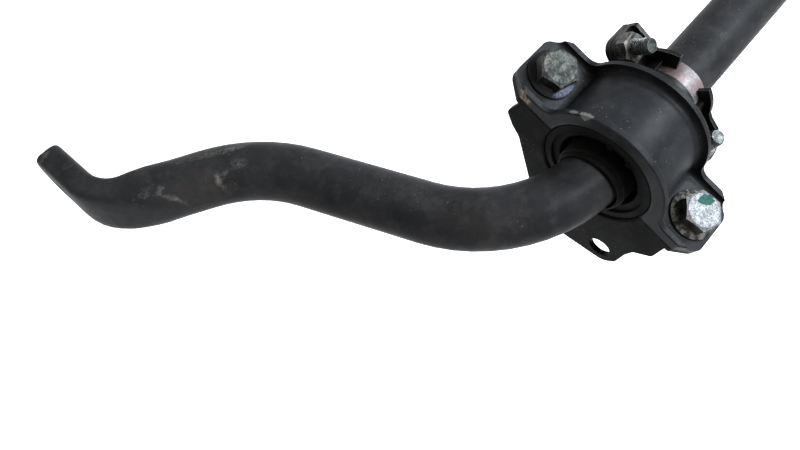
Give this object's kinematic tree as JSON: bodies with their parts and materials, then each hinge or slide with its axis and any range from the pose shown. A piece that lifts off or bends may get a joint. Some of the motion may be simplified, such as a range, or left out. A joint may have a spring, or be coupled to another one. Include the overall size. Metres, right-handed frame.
{
  "type": "sway bar",
  "caption": "Steel anti-roll bar with flattened link eyes, clamped rubber bushings in stamped brackets, and stop collars.",
  "frame": {"origin": "middle of the torsion section's axis, halfway between the two bushing brackets", "axes": "+X along the torsion axis to the right bracket, +Z along the clamp bolts with their heads up, +Y towards the arms, which slope down by 27.7 degrees"},
  "size_m": [0.9814, 0.2669, 0.1541],
  "materials": {
    "bar_ecoat": "satin black",
    "strap_black": "satin black",
    "base_black": "satin black, dusty",
    "bushing_rubber": "matt",
    "sleeve_rubber": "matt",
    "ring_bare": "dull, stained",
    "collar_black": "satin black, worn edges",
    "collar_hardware": "oily, dull",
    "nut_plated": "dull",
    "bolt_plated": "weathered zinc"
  },
  "bodies": {
    "left_bracket": {"left_base_bracket": "base_black", "left_bolt_front": "bolt_plated", "left_bolt_rear": "bolt_plated", "left_bushing": "bushing_rubber", "left_bushing_sleeve": "sleeve_rubber", "left_strap": "strap_black", "left_weld_nut_front": "nut_plated", "left_weld_nut_rear": "nut_plated"},
    "bar": {"left_collar_lower": "collar_black", "left_collar_nut_front": "collar_hardware", "left_collar_nut_rear": "collar_hardware", "left_collar_stud_front": "collar_hardware", "left_collar_stud_rear": "collar_hardware", "left_collar_upper": "collar_black", "left_stop_ring": "ring_bare", "right_collar_lower": "collar_black", "right_collar_nut_front": "collar_hardware", "right_collar_nut_rear": "collar_hardware", "right_collar_stud_front": "collar_hardware", "right_collar_stud_rear": "collar_hardware", "right_collar_upper": "collar_black", "right_stop_ring": "ring_bare", "sway_bar": "bar_ecoat"},
    "right_bracket": {"right_base_bracket": "base_black", "right_bolt_front": "bolt_plated", "right_bolt_rear": "bolt_plated", "right_bushing": "bushing_rubber", "right_bushing_sleeve": "sleeve_rubber", "right_strap": "strap_black", "right_weld_nut_front": "nut_plated", "right_weld_nut_rear": "nut_plated"}
  },
  "joints": [
    {"name": "bar_swing", "type": "hinge", "parent": "left_bracket", "child": "bar", "pos_m": [-0.3, 0, 0], "axis": [1, 0, 0], "range_deg": [-25, 25]},
    {"name": "right_bracket_turn", "type": "hinge", "parent": "bar", "child": "right_bracket", "pos_m": [0.3, 0, 0], "axis": [1, 0, 0], "range_deg": [-25, 25]}
  ],
  "couplings": [
    {"joint": "right_bracket_turn", "follows": "bar_swing", "ratio": -1}
  ]
}
